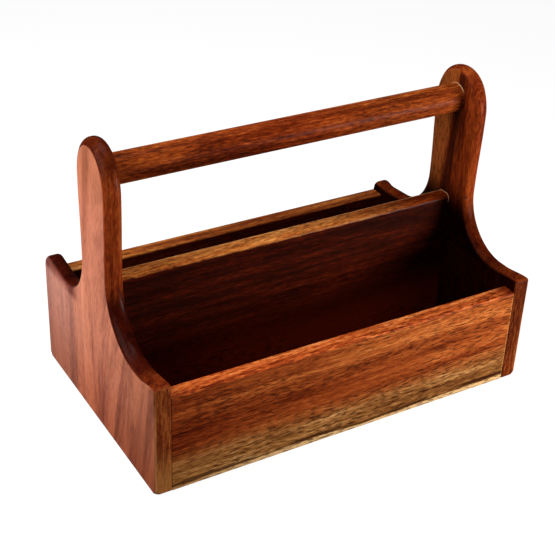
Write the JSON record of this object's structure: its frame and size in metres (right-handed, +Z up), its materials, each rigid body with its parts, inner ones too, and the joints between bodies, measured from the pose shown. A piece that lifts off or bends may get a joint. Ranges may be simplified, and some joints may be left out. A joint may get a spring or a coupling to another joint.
{
  "type": "table caddy",
  "caption": "Wooden carrying caddy: shaped end boards with round-headed posts, low front and rear panels, a taller centre divider and a round handle rail.",
  "frame": {"origin": "middle of the underside, on the surface that the caddy stands on", "axes": "+X along the handle rail towards the right end board, +Y from the front panel to the rear panel, +Z up"},
  "size_m": [0.3, 0.183, 0.2165],
  "materials": {
    "end_board_wood": "oiled and lacquered, glossy, vertical grain with brown streaks",
    "panel_wood": "oiled and lacquered, glossy, lengthwise grain from red-brown to golden sapwood",
    "divider_wood": "oiled and lacquered, dark heartwood with darker streaks",
    "rail_wood": "turned round and lacquered, red-orange with short flecks",
    "base_wood": "lacquered, mid-brown lengthwise grain",
    "pin_wood": "bare pale hardwood"
  },
  "bodies": {
    "root": {"left_end_board": "end_board_wood", "right_end_board": "end_board_wood", "front_panel": "panel_wood", "rear_panel": "panel_wood", "centre_divider": "divider_wood", "base_board": "base_wood", "handle_rail": "rail_wood", "front_panel_pins_left": "pin_wood", "front_panel_pins_right": "pin_wood", "rear_panel_pins_left": "pin_wood", "rear_panel_pins_right": "pin_wood", "divider_pins_left": "pin_wood", "divider_pins_right": "pin_wood"}
  },
  "joints": []
}
